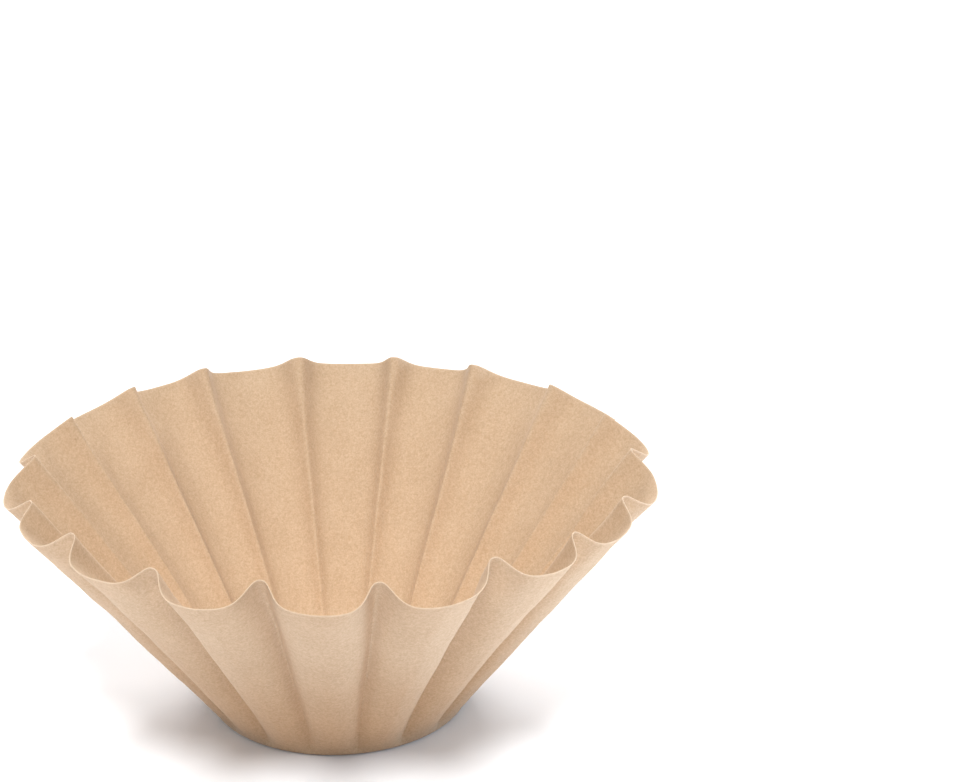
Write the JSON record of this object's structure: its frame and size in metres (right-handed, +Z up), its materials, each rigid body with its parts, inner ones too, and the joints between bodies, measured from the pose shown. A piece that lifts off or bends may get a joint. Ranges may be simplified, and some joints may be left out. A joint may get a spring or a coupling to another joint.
{
  "type": "paper coffee filter",
  "caption": "Basket coffee filter of brown paper: a flat round base and a flaring wall pressed into rounded flutes, open at the top, that lines a brew basket and holds ground coffee.",
  "frame": {"origin": "middle of the base's underside, where the filter stands", "axes": "+Z up, the axis that the flutes repeat around; a lobe of the wall faces -Y"},
  "size_m": [0.1474, 0.1484, 0.0615],
  "materials": {
    "paper_filter": "matte"
  },
  "bodies": {
    "root": {"paper_filter": "paper_filter"}
  },
  "joints": []
}
